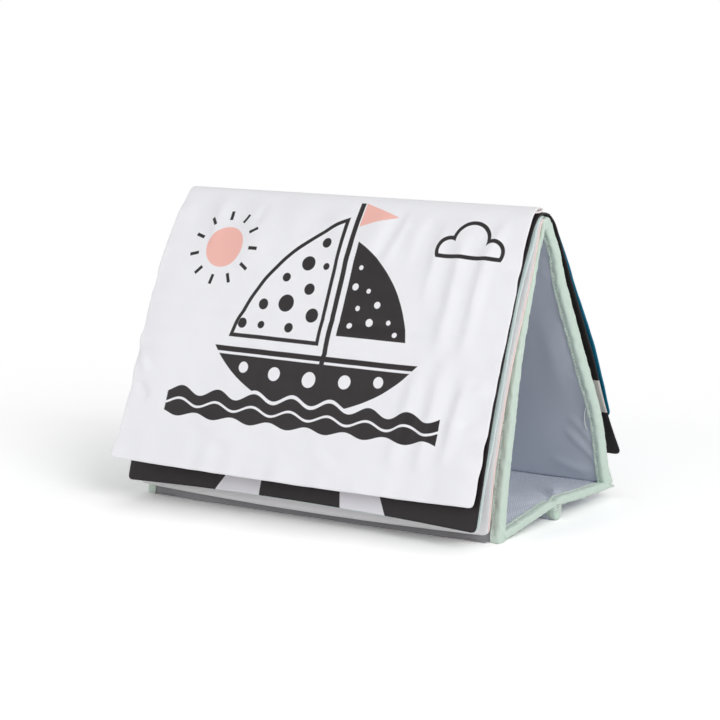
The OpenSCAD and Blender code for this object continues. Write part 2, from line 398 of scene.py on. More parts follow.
# A sailing boat under a sun and a cloud, with places across and down the leaf
sailPrint = {
    "stroke": 2.5,
    "sun": (-82, 56, 13.5),
    "sunRays": {"count": 11, "out": 8.5, "halfLong": 3.2, "halfWide": 1.1},
    "mast": (9, 20, 126, 1.7),
    "bigSail": (3.5, 112, (56.7, 140), 122),
    "bigSailDots": [
        (-8, 48, 3.2), (-4, 63, 2.2), (-17, 62, 4.6), (-30, 72, 2.8), (-12, 78, 3.6), (-26, 88, 5.4),
        (-42, 90, 3.4), (-6, 94, 4.4), (-40, 103, 2.4), (-20, 103, 3.0), (-54, 103, 3.2)],
    "smallSail": (14.5, 105, (-24, 126), 89),
    "smallSailDots": [
        (21, 62, 1.5), (20, 74, 2.2), (30, 76, 1.5), (25, 87, 1.6), (38, 84, 2.1), (35, 95, 2.4),
        (48, 94, 1.5), (22, 98, 1.8), (54, 101, 1.6)],
    "hull": (118, (2, 58), 94),
    "hullLine": {"below": 4.2, "half": 0.8},
    "hullClear": 2.2,
    "portholes": [(-46, 130, 3.4), (-23, 132, 4.2), (2, 133, 4.8), (27, 132, 4.2), (50, 130, 3.4)],
    "waves": {"top": 148, "bottom": 163, "swell": 2.6, "length": 27, "reach": 96, "lineHalf": 0.75},
    "cloud": [(78, 47, 9), (85, 48, 8), (92, 41, 13), (99.5, 48, 8), (107, 47, 8.5)],
    "cloudFoot": 52,
    "pennant": (11.5, 28, 37, 8),
}


def sailingPrint(finish, base):
    x, y, plan = finish.across, finish.down, sailPrint
    ink, worn, blush = (linear(*printColours[k]) for k in ("ink", "wornInk", "blush"))

    def nearest(spots):
        found = None
        for across, down, radius in spots:
            one = spotDistance(finish, across, down, radius)
            found = one if found is None else found.least(one)
        return found

    def outlined(shape):
        return abs(shape + plan["stroke"] / 2) - plan["stroke"] / 2

    # sun with short rays, and a pennant
    sunX, sunY, sunR = plan["sun"]
    sun = spotDistance(finish, sunX, sunY, sunR)
    angle = y.sum("ARCTAN2", y - sunY, x - sunX)
    ray = plan["sunRays"]
    sector = 2 * math.pi / ray["count"]
    aside = abs(angle.wrap(-sector / 2, sector / 2)) * (sun + sunR)
    black = (abs(sun - ray["out"]) - ray["halfLong"]).most(aside - ray["halfWide"])
    poleX, flagY, flagTip, flagHalf = plan["pennant"]
    pennant = (poleX - x).most(abs(y - flagY) - (flagTip - x) * (flagHalf / (flagTip - poleX)))
    # mast and sails
    mastX, mastTop, mastFoot, mastHalf = plan["mast"]
    mast = (abs(x - mastX) - mastHalf).most((mastTop - y).most(y - mastFoot))
    luff, foot, centre, radius = plan["bigSail"]
    bigSail = (x - luff).most(y - foot).most(spotDistance(finish, *centre, radius))
    bigLine = outlined(bigSail)
    bigDots = nearest(plan["bigSailDots"]).most(bigSail + plan["stroke"])
    luff, foot, centre, radius = plan["smallSail"]
    smallSail = (luff - x).most(y - foot).most(spotDistance(finish, *centre, radius))
    smallSail = smallSail.most(-nearest(plan["smallSailDots"]))
    # waves, and a hull that sits in them
    sea = plan["waves"]
    swell = (x * (2 * math.pi / sea["length"])).sine() * sea["swell"]
    surface = sea["top"] + swell - y
    water = surface.most(y - sea["bottom"] + swell * 0.6).most(abs(x) - sea["reach"] - swell)
    water = water.most(sea["lineHalf"] - abs(y - (sea["top"] + sea["bottom"]) / 2 - swell * 0.8))
    deck, centre, radius = plan["hull"]
    hull = (deck - y).most(spotDistance(finish, *centre, radius)).most(plan["hullClear"] - surface)
    line = plan["hullLine"]
    hull = hull.most(-nearest(plan["portholes"])).most(line["half"] - abs(y - deck - line["below"]))
    # outlined cloud
    cloudLine = outlined(nearest(plan["cloud"]).most(y - plan["cloudFoot"]))
    for shape in (mast, bigLine, bigDots, smallSail, water, hull, cloudLine):
        black = black.least(shape)
    pink = sun.least(pennant)
    base = finish.mix(inkMask(pink), base, blush)
    return finish.mix(inkMask(black), base, finish.mix(finish.mottle(1.2) * 0.25, ink, worn))


# Pale rays on black: the point where each starts, its heading and half its spread in degrees
rayPrint = [((-25, 153), -17.5, 17.0), ((20, 111), 17.7, 8.9)]


def rayInk(finish, base):
    for (across, down), heading, spread in rayPrint:
        x, y = finish.across - across, finish.down - down
        aside = abs(x.sum("ARCTAN2", x, y) - math.radians(heading)) - math.radians(spread)
        ray = aside * spotDistance(finish, across, down, 0)
        base = finish.mix(inkMask(ray), base, linear(*printColours["ray"]))
    return base


stripePrint = {"low": 121.0, "high": 145.6, "sag": 0.0002}


def stripeInk(finish, base):
    low, high = stripePrint["low"], stripePrint["high"]
    sag = finish.across * finish.across * stripePrint["sag"]
    band = abs(finish.down - (low + high) / 2 - sag) - (high - low) / 2
    return finish.mix(inkMask(band), base, linear(*printColours["stripe"]))


def pinkSeamInk(finish, base):
    # the seam shows pink along the leaf's side edges
    edge = (halfWidth - 1.2) - abs(finish.across)
    return finish.mix(inkMask(edge, 0.6), base, linear(*printColours["seam"]))


def wovenCover(name, colour):
    # plain woven cover cloth with a faint diagonal rib
    finish = Finish(name, Sheen_Weight=0.2, Sheen_Roughness=0.5, Specular_IOR_Level=0.25)
    rib = finish.slant(1.5, 0.9)
    tone = finish.mottle(9.0, 4.0) * 0.16 + (rib * 0.5 + 0.5) * 0.12
    return finish.made(finish.toned(colour, tone, 0.72), 0.72 + 0.1 * finish.mottle(5.0),
                       rib * 0.5 + finish.threads(0.8) * 0.5, 0.25, 0.2)


def liningSatin(name, colour):
    # smooth lining with a satin sheen and fine threads across the cover
    finish = Finish(name, Sheen_Weight=0.1, Sheen_Roughness=0.35, Specular_IOR_Level=0.4)
    weft = finish.streaks((0.06, 1.0, 1.0), 900.0)
    tone = finish.mottle(22.0, 3.0) * 0.1 + weft * 0.14
    return finish.made(finish.toned(colour, tone, 0.8), 0.36 + 0.14 * weft, weft, 0.12, 0.15)


def ribbedBase(name, colour):
    # soft base cloth with fine slanting ribs
    finish = Finish(name, Sheen_Weight=0.25, Sheen_Roughness=0.5, Specular_IOR_Level=0.3)
    rib = finish.slant(1.3, 0.62)
    tone = (rib * 0.5 + 0.5) * 0.3 + finish.mottle(10.0, 3.0) * 0.14
    return finish.made(finish.toned(colour, tone, 0.76), 0.62 + 0.1 * finish.mottle(6.0),
                       rib, 0.35, 0.3)


def mintTape(name, colour):
    # folded woven tape, a little uneven in tone
    finish = Finish(name, Sheen_Weight=0.2, Sheen_Roughness=0.5, Specular_IOR_Level=0.25)
    weave = finish.threads(0.7)
    tone = finish.mottle(3.5, 4.0) * 0.22 + (weave * 0.5 + 0.5) * 0.06
    return finish.made(finish.toned(colour, tone, 0.82), 0.68 + 0.1 * finish.mottle(4.0),
                       weave + finish.mottle(1.6) * 1.5, 0.2, 0.15)


def thread(name, colour):
    finish = Finish(name, Sheen_Weight=0.2, Specular_IOR_Level=0.4)
    twist = finish.slant(0.5, 0.6)
    return finish.made(finish.toned(colour, twist * 0.15 + 0.15, 0.8), 0.5 + 0.05 * twist)


def foam(name, colour):
    finish = Finish(name)
    cells = finish.node("ShaderNodeTexNoise", {}, {"Scale": 900.0, "Detail": 3.0}, "Fac")
    return finish.made(finish.toned(colour, cells * 0.3, 0.8), 0.85 + 0.1 * cells)


whitePrint = satin("whitePrintedSatin", printColours["cloth"], sailingPrint, gloss=0.45)
blushSatin = satin("blushSatin", (246, 222, 218))
blackRays = satin("blackRaySatin", printColours["ink"], rayInk, gloss=0.5)
blackPlain = satin("blackSatin", printColours["ink"], gloss=0.5)
blackStripe = satin("blackStripeSatin", printColours["ink"], stripeInk, gloss=0.5)
aquaSatin = satin("aquaSatin", (220, 238, 236), glow=0.6)
seamWhite = satin("whiteSatinPinkSeam", (241, 238, 240), pinkSeamInk, glow=0.6)
tealSatin = satin("tealSatin", (22, 116, 148), gloss=0.4)
coverGrey = wovenCover("greyCoverCloth", (162, 162, 166))
liningGrey = liningSatin("greyLiningSatin", (206, 212, 224))
baseGrey = ribbedBase("greyBaseCloth", (220, 227, 240))
mint = mintTape("mintTape", (219, 237, 225))
mintThread = thread("mintThread", (240, 246, 242))
boardFoam = foam("boardFoam", (216, 216, 214))
print("finishes made")


# Leaves: each hangs from the ridge along a line at its left end and one at its right end

def printFolds(x, s):
    below = np.clip((s - 17) / 16, 0, 1)
    folds = below * 0.9 * ripples(x, 0.25 * s, 19, 11) * np.exp(-((s - 34) / 26) ** 2)
    folds += below * (0.55 * ripples(x, 0.4 * s, 46, 12) + 0.16 * ripples(x, s, 17, 13))
    # puckers along the side seams and the lower hem
    folds += below * 0.5 * ripples(0.3 * x, s, 15, 14) * np.exp(-((halfWidth - np.abs(x)) / 9) ** 2)
    folds += 0.5 * ripples(x, 0.3 * s, 21, 15) * np.exp(-((s - 196) / 14) ** 2)
    # two lines where the leaf was folded flat
    for down, tilt in ((96, 0.012), (116, 0.006)):
        away = s - down - tilt * x
        folds += -0.6 * np.exp(-np.abs(away) / 1.4) + 0.5 * np.exp(-((away - 7) / 6) ** 2)
    for start, end, width, height in printCreases:
        folds += crease(x, s, start, end, width, height) * below
    return np.where(folds < 0, foldFloor * np.tanh(folds / foldFloor), folds)


foldFloor = 0.8  # how far a fold of the printed leaf may sink towards the leaf behind it
# start, end, width and height of each soft fold
printCreases = [
    ((40, 20), (26, 64), 3.2, -1.7), ((46, 20), (36, 60), 3.0, 1.2), ((62, 26), (57, 62), 4.0, -1.6),
    ((72, 28), (68, 80), 4.0, 1.6), ((88, 34), (84, 112), 4.4, 2.0), ((104, 36), (101, 112), 4.2, 2.0),
    ((76, 112), (68, 182), 5.0, 2.0), ((92, 112), (86, 182), 5.0, 2.2), ((108, 118), (102, 176), 4.2, 2.0),
    ((122, 128), (104, 134), 3.0, 1.5), ((124, 142), (108, 150), 3.0, -1.3),
    ((-122, 148), (-112, 156), 3.0, -1.6), ((-126, 128), (-116, 140), 3.0, 1.3),
    ((-96, 16), (-92, 60), 4.2, 1.0), ((-76, 164), (-30, 180), 5.0, 1.0), ((112, 22), (104, 60), 4.0, 1.2),
    ((-60, 18), (-66, 44), 3.4, -1.0), ((10, 172), (40, 190), 4.0, 1.0),
]


def easyFolds(seed, amount=0.3):
    return lambda x, s: amount * ripples(x, 0.5 * s, 60, seed) + 0.3 * amount * ripples(x, s, 22, seed + 1)


def seamFolds(seed, amount, top=0.0, off=0.0):
    # folds that begin below the seam, where a leaf sewn lower down, at top, follows the leaf under it
    # and stands off it
    under = easyFolds(51, 0.5)
    own = easyFolds(seed, amount)
    return lambda x, s: (under(x, s + top) * np.clip((s + top) / 40, 0, 1)
                         + (off + np.abs(own(x, s))) * np.clip(s / 30, 0, 1))


leafCommon = {"half": halfWidth - 0.5, "thick": 1.3, "rim": 1.2, "corner": 4.5, "step": 2.2, "belly": 0.0}
printHem = [(-11.8, 187.9), (-7.6, 187.9), (-4.3, 188.0), (-3.4, 188.9), (-4.6, 189.8)]
# the upper part of a line where a leaf's two ends hang alike
aquaTop = [(-2.4, 185.2), (-7.0, 182.6), (-12.9, 169.6), (-22.9, 152), (-29.6, 138.5), (-40.0, 110.5)]
plainTop = [(-1.6, 183.7), (-5.2, 181.0), (-9.5, 168.2), (-14.4, 153.8), (-21.9, 136.1), (-37.2, 100.3)]
leaves = {
    "printLeaf": {
        "node": "leaf_print", "slot": "white_leaf", "finishes": (whitePrint, blushSatin),
        "step": 1.7, "sag": 1.2, "corner": 2.8,
        "left": printHem + [(-9.6, 189.8), (-14.7, 183.9), (-21.2, 176.0), (-37.7, 153.8), (-57.8, 110.3),
                            (-74.5, 66.9), (-84.7, 45.6), (-94.2, 29.2)],
        "right": printHem + [(-9.0, 189.9), (-13.2, 187.6), (-17.6, 181.6), (-24.2, 168.9), (-35.0, 141.2),
                             (-51.0, 101.9), (-65.6, 62.7), (-79.4, 26.4)],
        "folds": printFolds},
    "contrastLeaf": {
        "node": "leaf_contrast", "slot": "black_leaf", "finishes": (blackRays, blackPlain), "sag": -2.8,
        "half": halfWidth - 0.1, "corner": 3.2,
        "left": [(4.6, 185.4), (0.4, 186.5), (-5.0, 186.7), (-9.7, 185.0), (-14.8, 179.0), (-20.4, 168.4),
                 (-30.9, 147.6), (-44, 114.6), (-56.1, 81.7), (-68.5, 41), (-77.4, 11.7)],
        "belly": 1.0, "folds": easyFolds(21)},
    "aquaLeaf": {
        "node": "leaf_aqua", "slot": "aqua_leaf", "finishes": (aquaSatin, aquaSatin), "sag": -1.6,
        "thick": 1.7, "rim": 1.9,
        "left": aquaTop + [(-51.4, 77.5), (-57.8, 60), (-67, 36.4), (-73.2, 11.8)],
        "right": aquaTop + [(-51.2, 77.5), (-57.2, 60), (-66, 36.4), (-73.0, 10.8)],
        "belly": 1.4, "folds": easyFolds(31, 0.2)},
    "plainLeaf": {
        "node": "leaf_plain", "slot": "pink_leaf", "finishes": (seamWhite, blushSatin), "sag": 2.4,
        "thick": 2.2, "rim": 2.6,
        "left": plainTop + [(-51, 61.4), (-59.4, 36.4), (-66.6, 7.7)],
        "right": plainTop + [(-50, 61.4), (-56.7, 36.4), (-61.6, 7.0)],
        "belly": 1.6, "folds": easyFolds(41, 0.2)},
    "backContrastLeaf": {
        "node": "back_leaf_contrast", "slot": "black_leaf", "finishes": (blackPlain, blackStripe),
        "sag": -1.0,
        "left": [(5.7, 184.7), (8.4, 182.6), (11.6, 179.3), (20.4, 163.4), (37.8, 133.5), (56.6, 101),
                 (77.9, 60.5), (100.2, 26.2)],
        "folds": seamFolds(52, 0.0)},
    "tealLeaf": {
        "node": "back_leaf_teal", "slot": "teal_leaf", "finishes": (tealSatin, tealSatin), "sag": 1.0,
        "half": halfWidth - 1.6,
        "left": [(14.0, 177.6), (16.4, 174.2), (25.4, 160.6), (41.8, 134.4), (52.6, 118), (62.4, 101),
                 (87.2, 52)],
        "folds": seamFolds(61, 0.7, top=12.0, off=0.2)},
}
runOn = 10  # how far a leaf's hanging lines go on below its hem


def hangLeaf(name, leaf):
    leaf = {**leafCommon, **leaf}
    half, corner, rim = leaf["half"], leaf["corner"], leaf["rim"]
    lines = [smoothLine(leaf["left"]), smoothLine(leaf.get("right", leaf["left"]))]
    lengths = [lineLength(line) for line in lines]
    length = sum(lengths) / 2
    x, s = np.meshgrid(acrossBook(half, leaf["step"], rim), edgeSteps(length, leaf["step"], rim))
    edge = np.minimum(np.minimum(half - np.abs(x), length - s), s)
    # the two lower corners are turned on a radius
    a, b = np.clip(1 - (half - np.abs(x)) / corner, 0, 1), np.clip(1 - (length - s) / corner, 0, 1)
    turned = (a > 0) & (b > 0)
    x = np.where(turned, np.sign(x) * (half - corner * (1 - a * np.sqrt(1 - b**2 / 2))), x)
    s = np.where(turned, length - corner * (1 - b * np.sqrt(1 - a**2 / 2)), s)
    share = s / length * (1 + leaf["sag"] / length * (1 - (x / half) ** 2))
    y, z = 0, 0
    for line, long, weight in zip(lines, lengths, (0.5 - x / half / 2, 0.5 + x / half / 2)):
        run = line[-1] - line[-2]
        line = np.concatenate([line, [line[-1] + run / np.linalg.norm(run) * runOn]])
        far = np.concatenate([np.linspace(0, 1, len(line) - 1), [1 + runOn / long]])
        y = y + weight * np.interp(share, far, line[:, 0])
        z = z + weight * np.interp(share, far, line[:, 1])
    middle = np.stack([x, y, z], axis=2)
    outward = (0, -1, 0.6) if leaf["node"].startswith("leaf") else (0, 1, 0.6)
    normal = gridNormals(middle, outward)
    bulge = leaf["belly"] * (1 - (x / half) ** 4) * np.clip(s / 25, 0, 1) * np.clip((length - s) / 40, 0, 1)
    middle = middle + normal * (leaf["folds"](x, s) + bulge)[..., None]
    depth = rimDepth(edge, leaf["thick"], rim)[..., None] / 2
    piece = clothPiece(name, middle + normal * depth, middle - normal * depth, np.stack([x, s], axis=2),
                       leaf["finishes"])
    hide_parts(leaf["node"])
    2 * half * mm
    length * mm
    return piece


# Front leaves stay sewn to the ridge and are left fixed where they hang; back leaves go with the back cover
for leafName, leafPlan in leaves.items():
    leafPiece = hangLeaf(leafName, leafPlan)
    if leafPlan["node"].startswith("leaf"):
        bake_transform(leafPiece)
    else:
        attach(leafPiece, "back_cover")
print("leaves hung")


# Covers

tape = {"width": 6.5, "thick": 0.7, "round": 1.5, "soft": 2.7, "pull": 0.3, "pullWide": 0.55,
        "stitchIn": 5.2, "stitchPitch": 2.5, "stitchLong": 1.6, "stitchRadius": 0.36, "stitchProud": 0.18,
        "stitchSlant": 0.18, "crown": 0.22, "crownAt": 2.4, "crownWide": 1.6, "clear": 0.12}


def outwardOf(top, foot, side):
    along = (np.array(foot) - np.array(top)) / np.linalg.norm(np.array(foot) - np.array(top))
    return side * np.array([-along[1], along[0]])


def coverLine(side, past=0.0, spacing=1.0):
    # the lining's inner face from the ridge to a cover's foot, side -1 in front and 1 behind
    foot = np.array(book["frontFoot"] if side < 0 else book["backFoot"])
    hinge = np.array([0, book["ridge"]])
    normal = outwardOf(hinge, foot, side)
    top = hinge + book["seamGap"] * normal
    last = 1 + past / np.linalg.norm(foot - top)
    t = np.linspace(0, last, round(last * 180 / spacing))[:, None]
    bow = 4 * (book["frontBow"] if side < 0 else book["backBow"]) * t * (1 - t)
    for middle, wide, high in coverBulges[side]:
        bow = bow + high * np.exp(-(((t - middle) / wide) ** 2))
    return top + t * (foot - top) + bow * normal


# soft bulges of each cover: place from ridge to foot, width and height
coverBulges = {-1: [(0.07, 0.07, 0.8), (0.66, 0.14, -1.4)],
               1: [(0.1, 0.09, 3.0), (0.77, 0.17, 5.4), (0.58, 0.16, 1.4), (0.4, 0.2, 1.2)]}
# how far each cover's outer face lies from its lining, from the ridge (0) to the foot (1)
coverDepth = {
    -1: {"end": ([0, 0.16, 0.3, 0.45, 1.02], [1.9, 2.2, 3.9, 4.9, 6.2]),
         "middle": ([0, 0.14, 0.3, 0.45, 0.7, 1.02], [2.6, 2.9, 4.8, 6.0, 6.6, 9.6])},
    1: {"end": ([0, 0.06, 0.14, 0.26, 1.02], [6.2, 5.4, 4.8, 5.6, 5.6]),
        "middle": ([0, 0.1, 0.26, 1.02], [5.2, 5.8, 6.6, 6.6])},
}
bookEnd = 20.0  # how far in from a bound end the cover reaches its full thickness


def depthAt(side, where, share):
    return np.interp(share, *coverDepth[side][where])


def coverSheet(name, side, inner, outer, finishes, past=0.0, half=None, step=2.0):
    # one layer of a cover between two distances from the lining's inner face
    line = coverLine(side, past, 0.8 * step)
    normal = lineNormals(line, side)
    half = half or halfWidth - book["endInset"]
    x, s = np.meshgrid(acrossBook(half, step), np.linspace(0, lineLength(line), len(line)))
    low, high = inner(x, s, s / s.max()), outer(x, s, s / s.max())
    rowEdge = rowsIn(len(line)) * 0.8 * step
    depth = rimDepth(np.minimum(half - np.abs(x), rowEdge), 1.0, 0.8)
    faces = []
    for sign in (1, -1):
        off = (low + high) / 2 + sign * depth * (high - low) / 2
        faces.append(faceOff(x, line, normal, off, book["coverClear"]))
    return clothPiece(name, *faces, np.stack([x, s], axis=2), finishes)


def outerFace(side):
    def face(x, s, share):
        inside = np.clip(halfWidth - np.abs(x) - tape["width"] - 1, 0, None)
        near = np.exp(-((inside / bookEnd) ** 2))
        soft = 0.25 * ripples(x, s, 55, 71) * np.clip((halfWidth - 8 - np.abs(x)) / 20, 0, 1)
        middle, end = depthAt(side, "middle", share) + soft, depthAt(side, "end", share) - tape["thick"] - 0.1
        return middle + (end - middle) * near
    return face


liningCreases = [
    ((125, 172), (102, 150), 2.8, -1.4), ((124, 160), (106, 140), 2.6, -1.1),
    ((122, 180), (88, 172), 3.2, -1.1), ((110, 60), (106, 128), 8.0, -1.2),
    ((-126, 158), (-92, 148), 3.5, -1.2), ((-122, 168), (-84, 162), 4.0, -1.0),
]


def liningFace(x, s, share):
    # soft folds that die away under the tape and at the ridge
    near = halfWidth - np.abs(x)
    folds = 0.4 * ripples(0.6 * x, s, 60, 81)
    folds = folds + 0.3 * ripples(0.4 * x, s, 9, 82) * np.exp(-((near - 10) / 7) ** 2)
    for start, end, width, height in liningCreases:
        folds = folds + crease(x, s, start, end, width, height)
    return folds * np.clip((near - 6.2) / 5, 0, 1) * np.clip(s / 24, 0, 1)


def footTurn(name, side, past):
    # the outer cloth turned in under a cover's foot
    line = coverLine(side, past)
    normal = lineNormals(line, side)[-1]
    half = halfWidth - book["endInset"] - 6.0
    offs = np.linspace(0.4, float(depthAt(side, "middle", 1.0)) - 0.5, 9)
    x, o = np.meshgrid(acrossBook(half, 3.0), offs)
    edge = np.minimum(half - np.abs(x), np.minimum(o - offs[0], offs[-1] - o))
    depth = rimDepth(edge, book["clothThick"], 0.7) / 2
    low = np.maximum(line[-1][1] + normal[1] * o, 0) + 0.55 + 0.1 * ripples(x, o, 30, 91)
    y = line[-1][0] + normal[0] * o
    faces = [leaned(np.stack([x, y, low + sign * depth], axis=2)) for sign in (-1, 1)]
    return clothPiece(name, *faces, np.stack([x, o], axis=2), (coverGrey, coverGrey))


# how far each cover's outer cloth and lining run past the foot
covers = {"front": {"side": -1, "outerPast": 3.0, "liningPast": -0.4},
          "back": {"side": 1, "outerPast": 1.2, "liningPast": 2.0}}
boards = {"inset": 18, "short": 4.0, "step": 5.0, "inner": 1.1, "gap": 0.3, "least": 1.6, "fill": 0.9}
for end, cover in covers.items():
    side, body, thick = cover["side"], end + "_cover", book["clothThick"]
    outer = outerFace(side)

    def underCloth(x, s, share):
        return outer(x, s, share) - thick

    def boardFace(x, s, share):
        return np.maximum(underCloth(x, s, share) - boards["gap"], boards["least"])

    outerCloth = coverSheet(end + "OuterCloth", side, underCloth, outer, (coverGrey, coverGrey),
                            cover["outerPast"])
    underFoot = footTurn(end + "FootTurn", side, cover["outerPast"])
    lining = coverSheet(end + "Lining", side, liningFace, lambda x, s, share: liningFace(x, s, share) + thick,
                        (liningGrey, liningGrey), cover["liningPast"], halfWidth - book["liningInset"])
    board = coverSheet(end + "Board", side, lambda x, s, share: 0 * x + boards["inner"], boardFace,
                       (boardFoam, boardFoam), -boards["short"], halfWidth - boards["inset"], boards["step"])
    for piece, node, slot in ((outerCloth, "_outer_cloth", "cover_cloth"), (lining, "_lining", "lining"),
                              (board, "_board", "stiffener")):
        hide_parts(end + node)
        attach(piece, body)
    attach(underFoot, body)
    for cloth, inset, more in ((outerCloth, "endInset", [underFoot]), (lining, "liningInset", [])):
        flat = (2 * (halfWidth - book[inset]) * mm, lineLength(coverLine(side)) * mm)
print("covers dressed")


# Ridge: a rounded roll of cover cloth, lower in front than behind
ridge = {"angles": [26, 60, 85, 112, 130, 166], "depths": [6.4, 8.0, 8.0, 5.4, 3.7, 2.0], "overlap": 6.0,
         "rows": 40, "under": 1.3, "turn": (spot(0, 6.5, 179.5), spot(0, -7.0, 178.0))}


def ridgeDepth(angle):
    return np.interp(np.degrees(angle), ridge["angles"], ridge["depths"])


def ridgeRoll():
    hinge = np.array([0, book["ridge"]])
    leans = [outwardOf(hinge, book["frontFoot"], -1), outwardOf(hinge, book["backFoot"], 1)]
    first, last = (math.degrees(math.atan2(n[1], n[0])) for n in leans)
    half = halfWidth - book["endInset"]
    angles = np.radians(np.linspace(first + ridge["overlap"], last - ridge["overlap"], ridge["rows"]))
    x, a = np.meshgrid(acrossBook(half, 2.5), angles)
    rowEdge = rowsIn(ridge["rows"]) * 0.4
    depth = rimDepth(np.minimum(half - np.abs(x), rowEdge), book["clothThick"], 0.8) / 2
    faces = []
    for sign in (1, -1):
        r = book["seamGap"] + ridgeDepth(a) - ridge["under"] + 0.12 * ripples(x, a * 8, 30, 95) + sign * depth
        faces.append(np.stack([x, r * np.cos(a), book["ridge"] + r * np.sin(a)], axis=2))
    around = np.concatenate([[0], np.cumsum(np.abs(np.diff(angles)) * (ridgeDepth(angles[1:]) + 0.1))])
    spread = np.stack([x, around[:, None] + 0 * x], axis=2)
    piece = clothPiece("ridgeRoll", *faces, spread, (coverGrey, coverGrey))
    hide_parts("ridge_spine")
    2 * half * mm
    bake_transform(piece)


ridgeRoll()
print("ridge rolled")


# Binding tape

def turnOf(inner, outer):
    # the radius that the tape turns on, less where it is thin
    return min(tape["round"], (outer - inner) / 2 - 0.05)


def tapeSection(inner, outer, soft=False):
    # points round a folded tape from its edge on the inner face, over the end, to its edge on the outer face:
    # distance in from the end, distance out from the lining, and the way that each point faces
    width, sewn, turn = tape["width"], tape["stitchIn"], turnOf(inner, outer)
    across, deep = (tape["soft"], outer - inner - turn) if soft else (turn, turn)

    def legs(corner):
        last = sewn - 0.9
        return [width, width - 0.2, width - 0.6, sewn + 0.35, sewn, sewn - 0.35, last, (last + corner) / 2,
                0.1 * last + 0.9 * corner]

    points = [(d, inner, 0, -1) for d in legs(across)]
    points += [(across - across * math.sin(a), inner + deep - deep * math.cos(a), math.sin(a), -math.cos(a))
               for a in np.radians(np.linspace(0, 90, 11 if soft else 6))]
    if not soft:
        points += [(0, inner + turn + (outer - inner - 2 * turn) * k / 6, 1, 0) for k in range(1, 6)]
    points += [(turn - turn * math.cos(a), outer - turn + turn * math.sin(a), math.cos(a), math.sin(a))
               for a in np.radians(np.linspace(0, 90, 6))]
    points += [(d, outer, 0, 1) for d in reversed(legs(turn))]
    return np.array(points)


def tapeAlong(line, normals, inner, outer, hand, seed, swell=None, tucks=None, flat=0.0, narrow=0.0,
              soft=0.0):
    # the tape swept along a line in y and z, on the right end for hand 1 and the left for -1: its inner leg
    # may lie further out (flat) or be narrower, and its inner edge is well rounded where soft is 1
    section = tapeSection(inner, outer)
    deep, off = section.T[:2]
    around = np.concatenate([[0], np.cumsum(np.hypot(np.diff(deep), np.diff(off)))])
    far = distances(line)
    flat, narrow, soft = ((value * np.ones(len(far)))[:, None] for value in (flat, narrow, soft))
    section = section + soft[..., None] * (tapeSection(inner, outer, True) - section)
    d, off, faceX, faceO = np.moveaxis(section, 2, 0)
    s = far[:, None] + 0 * d
    turn = turnOf(inner, outer)
    corner = turn * (1 - soft)
    outerShare = np.clip((off - inner - corner) / (outer - inner - turn - corner), 0, 1)
    pull = -tape["pull"] * np.exp(-(((d - tape["stitchIn"]) / tape["pullWide"]) ** 2))
    pull *= 1 + 0.45 * np.cos(2 * math.pi * s / tape["stitchPitch"])
    side = np.where(np.abs(faceO) > 0.5, np.sign(faceO), 0) * 40
    puckers = 0.14 * ripples(s, side + 2 * d, 7, seed) + 0.08 * ripples(s, side + d, 3.2, seed + 1)
    crown = tape["crown"] * np.exp(-(((d - tape["crownAt"]) / tape["crownWide"]) ** 2)) * np.abs(faceO)
    edgeWave = 0.2 * ripples(s, side, 11, seed + 2) * np.clip((d - tape["stitchIn"]) / 2, 0, 1)
    raised = pull + puckers + crown
    if tucks is not None:
        raised = raised + tucks(line[:, 1])[:, None] * np.clip(1.3 - d / 4, 0, 1)
    grown = np.zeros_like(s) if swell is None else swell[:, None] * outerShare
    grown = grown + flat * (1 - outerShare)
    legs = d * (1 - narrow * (1 - outerShare))
    rings = []
    for depth in (0.0, tape["thick"]):
        x = halfWidth - legs - edgeWave + faceX * (raised - depth)
        o = off + grown + faceO * (raised - depth)
        rings.append(faceOff(hand * x, line, normals, o, tape["clear"]))
    rows, count = s.shape
    index = np.arange(rows * 2 * count).reshape(rows, 2 * count)
    faces = quads(np.concatenate([index, index[:, :1]], axis=1)).tolist()
    for row in (0, rows - 1):
        ring, back = index[row], index[row, ::-1]
        faces += [(ring[k], ring[k + 1], back[k + 1], back[k]) for k in range(count - 1)]
    return {"points": np.concatenate([rings[0], rings[1][:, ::-1]], axis=1).reshape(-1, 3), "faces": faces,
            "uv": np.stack(np.meshgrid(np.concatenate([around, around[::-1]]), far), axis=2).reshape(-1, 2),
            "surface": rings[0], "normals": normals}


def tapePiece(name, runs):
    # one piece from one or more runs of tape
    points, faces, spread = [], [], []
    for run in runs:
        faces += [tuple(k + len(points) for k in face) for face in run["faces"]]
        points += run["points"].tolist()
        spread += run["uv"].tolist()
    piece = addPiece(name, points, faces, spread, (mint,))
    return piece


def stitchMesh(middle, lean, aside, up, mesh):
    # one stitch as a short thread with rounded ends
    points, faces, spread = mesh
    sides, ringsAlong, long = 6, 5, np.linalg.norm(lean)
    first = len(points)
    for t in np.linspace(-1, 1, ringsAlong):
        thick = tape["stitchRadius"] * max(math.sqrt(1 - (0.96 * t) ** 2), 0.3)
        for q in range(sides):
            turn = 2 * math.pi * q / sides
            points.append(middle + lean * t / 2 + (aside * math.cos(turn) + up * math.sin(turn)) * thick)
            spread.append((turn * tape["stitchRadius"], t * long / 2))
    for ring in range(ringsAlong - 1):
        for q in range(sides):
            a, b = first + ring * sides + q, first + ring * sides + (q + 1) % sides
            faces.append((a, b, b + sides, a + sides))
    faces.append(tuple(range(first, first + sides)))
    faces.append(tuple(range(first + (ringsAlong - 1) * sides, first + ringsAlong * sides)))


